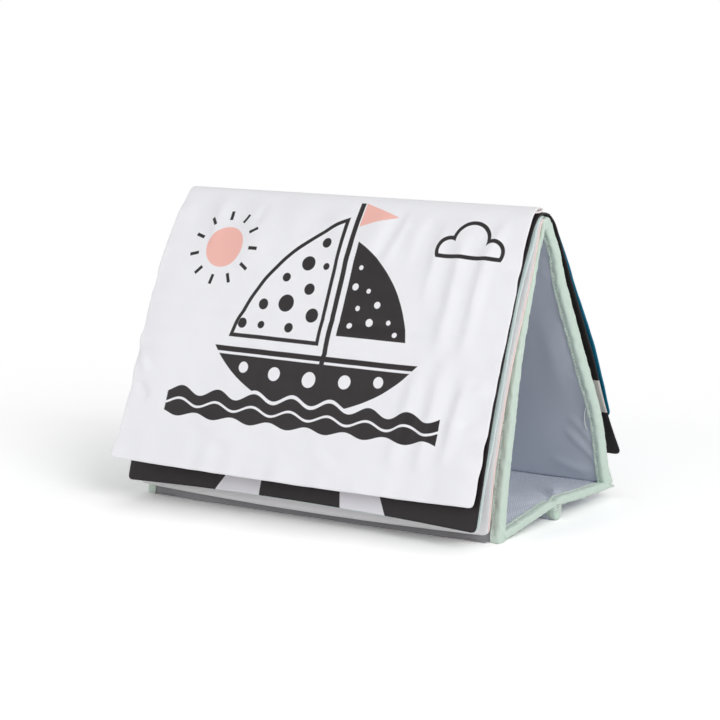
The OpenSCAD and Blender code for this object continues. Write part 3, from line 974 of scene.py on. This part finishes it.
def stitches(name, runs, extra=()):
    # a row of stitches along both faces of each run of tape, each in its own dimple
    mesh = ([], [], [])
    deep = tapeSection(0, 4)[:, 0]
    inner = int(np.argmin(np.abs(deep[:len(deep) // 2] - tape["stitchIn"])))
    for run in runs:
        for column, sign in ((inner, -1), (len(deep) - 1 - inner, 1)):
            track = run["surface"][:, column]
            far = distances(track)
            for at in np.arange(tape["stitchPitch"], far[-1] - 1.0, tape["stitchPitch"]):
                k = int(np.clip(np.searchsorted(far, at), 2, len(far) - 3))
                along = track[k + 2] - track[k - 2]
                along /= np.linalg.norm(along)
                up = sign * np.array([0, *run["normals"][k]])
                aside = np.cross(along, up)
                lean = (along + tape["stitchSlant"] * aside) * tape["stitchLong"]
                stitchMesh(track[k] + up * tape["stitchProud"], lean, aside, up, mesh)
    for middle, lean, up in extra:
        middle, lean, up = (np.array(v, float) for v in (middle, lean, up))
        stitchMesh(middle, lean, np.cross(lean, up) / np.linalg.norm(lean), up, mesh)
    piece = addPiece(name, *mesh, (mintThread,))
    return piece


coverTape = {"inner": -0.9, "outer": 2.4, "step": 0.7, "past": 3.2, "backPast": 4.0, "backFlare": 3.0,
             "flareFrom": 0.95, "nearRidge": 24.0, "flat": 0.8, "narrow": 0.2, "softFrom": 5.0}


def endRun(hand):
    # up the front cover's end, over the ridge and down the back cover's end, as thick as the cover on the way
    front = coverLine(-1, coverTape["past"], coverTape["step"])[::-1]
    back = coverLine(1, coverTape["backPast"], coverTape["step"])
    fronts, backs = lineNormals(front[::-1], -1)[::-1], lineNormals(back, 1)
    first, last = (math.atan2(n[1], n[0]) for n in (fronts[-1], backs[0]))
    angles = np.linspace(first, last, 40)[1:-1]
    arc = np.stack([np.cos(angles), np.sin(angles)], axis=1)
    line = np.concatenate([front, np.array([0, book["ridge"]]) + book["seamGap"] * arc, back])
    share = np.linspace(0, 1, len(back))
    flared = np.clip((share - coverTape["flareFrom"]) / (1 - coverTape["flareFrom"]), 0, 1)
    behind = depthAt(1, "end", share) + coverTape["backFlare"] * flared
    depth = np.concatenate([depthAt(-1, "end", np.linspace(1.02, 0, len(front))), ridgeDepth(angles), behind])
    swell = np.convolve(np.pad(depth - coverTape["outer"], 8, "edge"), np.ones(17) / 17, "valid")
    high = np.exp(-((np.hypot(line[:, 0], line[:, 1] - book["ridge"]) / coverTape["nearRidge"]) ** 2))
    soft = np.clip(line[:, 0] / coverTape["softFrom"], 0, 1)  # only the back cover's tape is softly rounded
    return tapeAlong(line, np.concatenate([fronts, arc, backs]), coverTape["inner"], coverTape["outer"], hand,
                     100 + hand, swell, None, coverTape["flat"] * high, coverTape["narrow"] * high, soft)


# a loose end of thread on the back lining, by the right tape: places across the book and down the cover
looseThread = [(122.2, 129.0), (119.6, 134.0), (118.0, 139.6), (117.6, 145.2), (118.4, 148.6)]
threadLift, threadLap = 0.6, 1.5  # above the lining, and how far its short lengths overlap


def threadEnd():
    line = coverLine(1)
    far = distances(line)
    path = smoothLine(looseThread, 1.0)
    track = np.stack([path[:, 0], *(np.interp(path[:, 1], far, line[:, k]) for k in (0, 1))], axis=1)
    up = -np.array([0, *outwardOf((0, book["ridge"]), book["backFoot"], 1)])
    steps = np.diff(track, axis=0)
    return [(point + up * threadLift, step * threadLap, up) for point, step in zip(track, steps)]


for hand, end in ((1, "right"), (-1, "left")):
    run = endRun(hand)
    binding = tapePiece("endBinding" + end.capitalize(), [run])
    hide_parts("front_binding_" + end, "back_binding_" + end)
    sewing = stitches("endStitches" + end.capitalize(), [run], threadEnd() if hand > 0 else ())
    for piece in (binding, sewing):
        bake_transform(piece)
print("cover ends bound")


# Base: a cloth between the feet, gathered at its middle into a pleat that hangs to the floor
base = {
    "thick": 3.0, "front": (-43.6, 2.9), "pinch": (book["pleatAt"], 12.0), "rise": 10.9, "level": (56, 9.7),
    "back": (90.2, 9.4), "webEnd": (85.6, 9.7), "turn": 2.1, "clear": 0.3, "keep": 0.15,
    "pleatHalf": 1.8, "pleatLow": 2.3, "pleatTop": 9.6, "dip": 3.0, "dipLong": 10.0, "dipFrom": 15,
    "tapeHalf": 2.45, "overlap": 2.6, "lap": 0.5, "neck": 3.0, "tip": 1.4, "tipTurn": 1.3, "loopThin": 0.6,
    "tackAt": (8.8, 7.4, 6.0), "tack": (0, 8.0, 0.3), "tackProud": 0.15,
}


def baseLine():
    # the cloth's middle from the front foot, down and up through the pleat, to the back foot
    middle, high = base["pinch"]
    left, right = middle - base["pleatHalf"], middle + base["pleatHalf"]
    return roundedLine([base["front"], (left, high), (left, base["pleatLow"]), (right, base["pleatLow"]),
                        (right, base["rise"]), base["level"], base["webEnd"]], base["turn"])


def baseGathers(x, y):
    # folds that fan out from the pinched ends of the pleat, and soft waves elsewhere
    total = 0.35 * ripples(x, y, 34, 121)
    # the cloth sags towards the back foot
    total = total - 1.7 * np.exp(-((y - 70) / 22) ** 2) * np.clip((halfWidth - 10 - np.abs(x)) / 34, 0, 1)
    for end in (-1, 1):
        dx, dy = halfWidth - end * x, y - base["pinch"][0]
        far = np.hypot(dx, dy)
        angle = np.arctan2(dy, dx)
        fan = np.sin(6.5 * angle + 0.9) + 0.6 * np.sin(12 * angle + 2.1 + end)
        total = total + 1.5 * fan * np.exp(-((far - 16) / 26) ** 2) * np.clip(far / 8, 0, 1)
    return total


def pinchDip(away):
    # how far the base sinks at its ends, by distance from the pleat
    return base["dip"] * np.clip(1 - np.abs(away) / base["dipLong"], 0, 1) ** 1.3


def baseWeb():
    line = baseLine()[::3]
    normals = lineNormals(line, 1)
    half = halfWidth - book["endInset"]
    far = distances(line)
    x, s = np.meshgrid(acrossBook(half, 1.9), far)
    y0 = line[:, 0][:, None] * np.ones_like(x)
    # the gathers fade out at the pleat, under the tape and at both feet
    panel = np.clip((np.abs(y0 - base["pinch"][0]) - 4) / 5, 0, 1)
    panel = panel * np.clip((halfWidth - 6.0 - np.abs(x)) / 6, 0, 1)
    panel = panel * np.clip((y0 + 43) / 12, 0, 1) * np.clip((88 - y0) / 14, 0, 1)
    lift = baseGathers(x, y0) * panel
    sunk = pinchDip(y0 - base["pinch"][0]) * np.clip((np.abs(x) - halfWidth + base["dipFrom"]) / 9, 0, 1)
    edge = np.minimum(half - np.abs(x), np.minimum(s, far[-1] - s))
    thin = np.interp(halfWidth - np.abs(x), [0, 7, 12], [0.62, 0.62, 1])
    depth = rimDepth(edge, base["thick"], 1.2) / 2 * thin
    faces = [faceOff(x, line, normals, lift + sign * depth, base["clear"], sunk) for sign in (1, -1)]
    piece = clothPiece("baseWeb", *faces, np.stack([x, s], axis=2), (baseGrey, baseGrey))
    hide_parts("base_web")
    2 * half * mm
    return piece


def tackTucks(z):
    # dents where the pleat's end is sewn together
    return sum(-0.4 * np.exp(-(((z - at) / 0.35) ** 2)) for at in base["tackAt"])


def baseRuns(hand):
    # the base's tape: a run in front, one behind that laps over it, and a loop round the pleat's end
    (middle, high), reach = base["pinch"], base["tapeHalf"]
    front = evenLine(np.array([base["front"], (middle + 0.4, high)]), 0.4)
    lap = (middle - base["overlap"], base["rise"] + base["lap"])
    back = smoothLine([lap, base["level"], base["back"]], 0.4)
    loop = roundedLine([(middle - base["neck"], base["pleatTop"]), (middle - base["tip"], base["pleatLow"]),
                        (middle + base["tip"], base["pleatLow"]), (middle + base["neck"], base["pleatTop"])],
                       base["tipTurn"])
    taper = np.interp(np.linspace(0, 1, len(back)), [0, 0.06, 0.78, 1], [-2.6, 0.2, 0.2, -3.2])
    sunk, thin = -pinchDip(front[:, 0] - middle), reach - base["loopThin"]
    return [tapeAlong(front, lineNormals(front, 1), -reach, reach, hand, 140 + hand, sunk),
            tapeAlong(back, lineNormals(back, 1), -reach, reach, hand, 150 + hand, taper),
            tapeAlong(loop, lineNormals(loop, 1), -thin, thin, hand, 160 + hand, None, tackTucks)]


def squashBase(piece):
    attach(piece, "back_cover")
    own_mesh(piece)


squashBase(baseWeb())
for hand, end in ((1, "right"), (-1, "left")):
    runs = baseRuns(hand)
    binding = tapePiece("baseBinding" + end.capitalize(), runs)
    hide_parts("base_binding_" + end)
    tacks = [((hand * (halfWidth + base["tackProud"]), base["pinch"][0], z), base["tack"], (hand, 0, 0))
             for z in base["tackAt"]]
    sewing = stitches("baseStitches" + end.capitalize(), runs[:2], tacks)
    squashBase(binding)
    squashBase(sewing)
print("base sewn in")


# Floor, light and camera

def seenRays(tree):
    # 1 for rays from the camera, straight or by way of gloss and glass, and 0 for those that carry light
    path = tree.nodes.new("ShaderNodeLightPath")
    kinds = ("Is Camera Ray", "Is Glossy Ray", "Is Transmission Ray")
    camera, glossy, glass = (Wire(tree, path.outputs[kind]) for kind in kinds)
    return camera.most(glossy).most(glass)


def stageFloor():
    mesh = bpy.data.meshes.new("floor")
    reach = studio["floorReach"]
    corners = [(-reach, -reach, 0), (reach, -reach, 0), (reach, reach, 0), (-reach, reach, 0)]
    mesh.from_pydata(corners, [], [(0, 1, 2, 3)])
    floor = bpy.data.objects.new("floor", mesh)
    bpy.context.scene.collection.objects.link(floor)
    material = bpy.data.materials.new("paleFloor")
    material.use_nodes = True
    tree = material.node_tree
    tree.nodes.clear()

    def node(kind, sockets=None):
        made = tree.nodes.new(kind)
        for name, value in (sockets or {}).items():
            made.inputs[name].default_value = value
        return made

    out = node("ShaderNodeOutputMaterial")
    matt = node("ShaderNodeBsdfDiffuse", {"Color": (*3 * [studio["floorGrey"]], 1)})
    lit = node("ShaderNodeBsdfDiffuse", {"Color": (*3 * [studio["floorWhite"]], 1)})
    white = node("ShaderNodeEmission", {"Color": (1, 1, 1, 1), "Strength": 1.0})
    seen, both = node("ShaderNodeMixShader"), node("ShaderNodeMixShader")
    away = node("ShaderNodeVectorMath")
    away.operation = "LENGTH"
    tree.links.new(node("ShaderNodeNewGeometry").outputs["Position"], away.inputs[0])
    near, far = studio["whiteFrom"]
    connect(tree, seen.inputs[0], ((Wire(tree, away.outputs["Value"]) - near) / (far - near)).clamped())
    connect(tree, both.inputs[0], seenRays(tree))
    links = ((lit, seen, 1), (white, seen, 2), (matt, both, 1), (seen, both, 2), (both, out, 0))
    for start, end, entry in links:
        tree.links.new(start.outputs[0], end.inputs[entry])
    mesh.materials.append(material)


def studioWorld():
    # soft light that is stronger from above and from the right, on a background that looks white
    world = bpy.data.worlds.new("studio")
    bpy.context.scene.world = world
    world.use_nodes = True
    tree = world.node_tree
    background = tree.nodes["Background"]
    background.inputs["Color"].default_value = (1, 1, 1, 1)
    way, parts = tree.nodes.new("ShaderNodeTexCoord"), tree.nodes.new("ShaderNodeSeparateXYZ")
    tree.links.new(way.outputs["Generated"], parts.inputs[0])
    above = Wire(tree, parts.outputs["Z"]).most(0.0)
    aside = Wire(tree, parts.outputs["X"]) * studio["fromRight"]
    level = (above * (studio["overhead"] - studio["horizon"]) + studio["horizon"]) * (1 + aside)
    connect(tree, background.inputs["Strength"], seenRays(tree) * (1 - level) + level)


def areaLight(name, location, target, size, power):
    light = bpy.data.lights.new(name, "AREA")
    light.shape, light.size, light.energy = "DISK", size, power
    lamp = bpy.data.objects.new(name, light)
    lamp.location = location
    lamp.rotation_euler = (Vector(target) - Vector(location)).to_track_quat("-Z", "Y").to_euler()
    bpy.context.scene.collection.objects.link(lamp)


studio = {"horizon": 0.22, "overhead": 0.62, "fromRight": 0.6, "aim": (0, 0, 0.08),
          "floorReach": 6.0, "floorGrey": 0.9, "floorWhite": 1.45, "whiteFrom": (0.25, 0.6)}
lamps = {
    "keyLight": {"at": (1.7, -0.9, 1.15), "size": 1.2, "power": 17.0},
    "backLight": {"at": (-0.5, 2.0, 1.5), "size": 1.4, "power": 4.0},
    "fillLight": {"at": (-0.9, -2.0, 0.6), "size": 1.4, "power": 13.0},
}
stageFloor()
studioWorld()
for lampName, lamp in lamps.items():
    areaLight(lampName, lamp["at"], studio["aim"], lamp["size"], lamp["power"])

shot = {"azimuth": 33.69, "elevation": 9.14, "distance": 1374.88, "aim": (0, 16, 95), "lens": 110.0,
        "sensor": 36.0, "shift": (-0.0270, -0.0190), "clip": (0.05, 50.0)}


def shootCamera():
    azimuth, elevation = math.radians(shot["azimuth"]), math.radians(shot["elevation"])
    backward = Vector((math.sin(azimuth) * math.cos(elevation), -math.cos(azimuth) * math.cos(elevation),
                       math.sin(elevation)))
    lens = bpy.data.cameras.new("photoCamera")
    lens.lens, lens.sensor_width = shot["lens"], shot["sensor"]
    lens.shift_x, lens.shift_y = shot["shift"]
    lens.clip_start, lens.clip_end = shot["clip"]
    camera = bpy.data.objects.new("photoCamera", lens)
    camera.location = Vector(spot(*shot["aim"])) + backward * shot["distance"] * mm
    camera.rotation_euler = (-backward).to_track_quat("-Z", "Y").to_euler()
    bpy.context.scene.collection.objects.link(camera)
    bpy.context.scene.camera = camera


shootCamera()
bpy.context.scene.view_settings.view_transform = "Standard"
print("stage lit")
